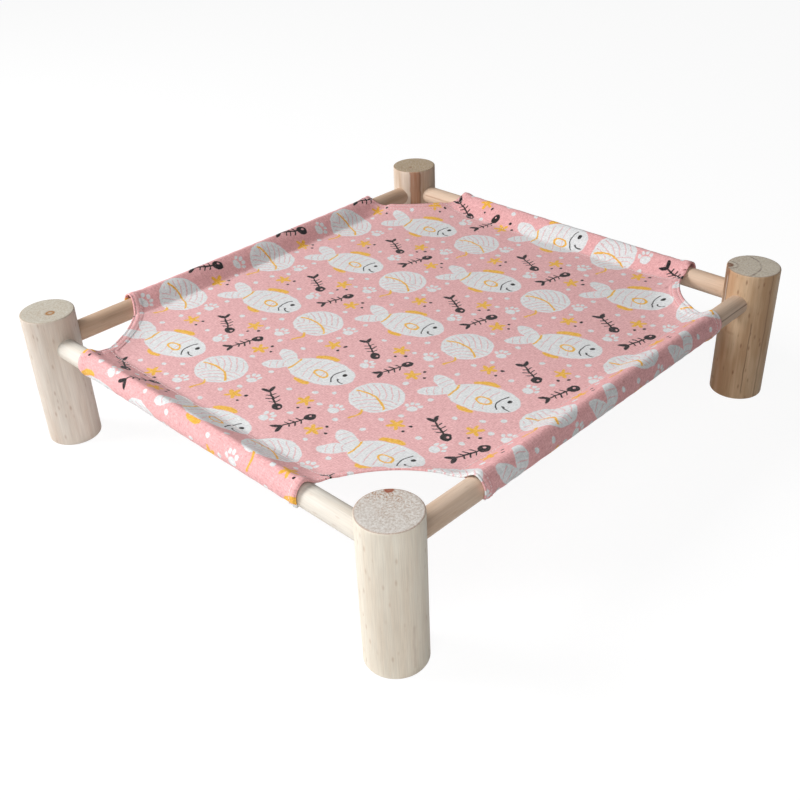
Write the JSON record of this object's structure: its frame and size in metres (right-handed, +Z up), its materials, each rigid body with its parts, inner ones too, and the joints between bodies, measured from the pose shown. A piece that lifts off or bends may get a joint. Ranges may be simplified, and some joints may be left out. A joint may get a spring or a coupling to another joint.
{
  "type": "elevated cat bed",
  "caption": "Low raised cat bed: log legs and round rails carry a cloth cover sewn round the rails as sleeves, its corners cut back in curves.",
  "frame": {"origin": "on the floor, midway between the four legs", "axes": "+Z up, +X towards the right legs along the shorter rails, +Y towards the back legs along the longer rails"},
  "size_m": [0.501, 0.551, 0.136],
  "materials": {
    "log_wood": "peeled log, bare and unvarnished, sawn ends",
    "dowel_wood": "smooth sanded dowel, bare wood",
    "printed_cloth": "plain-weave cotton canvas with a printed pattern"
  },
  "bodies": {
    "root": {"leg_front_left": "log_wood", "leg_front_right": "log_wood", "leg_back_right": "log_wood", "leg_back_left": "log_wood", "rail_front": "dowel_wood", "rail_back": "dowel_wood", "rail_left": "dowel_wood", "rail_right": "dowel_wood", "cover": "printed_cloth"}
  },
  "joints": []
}
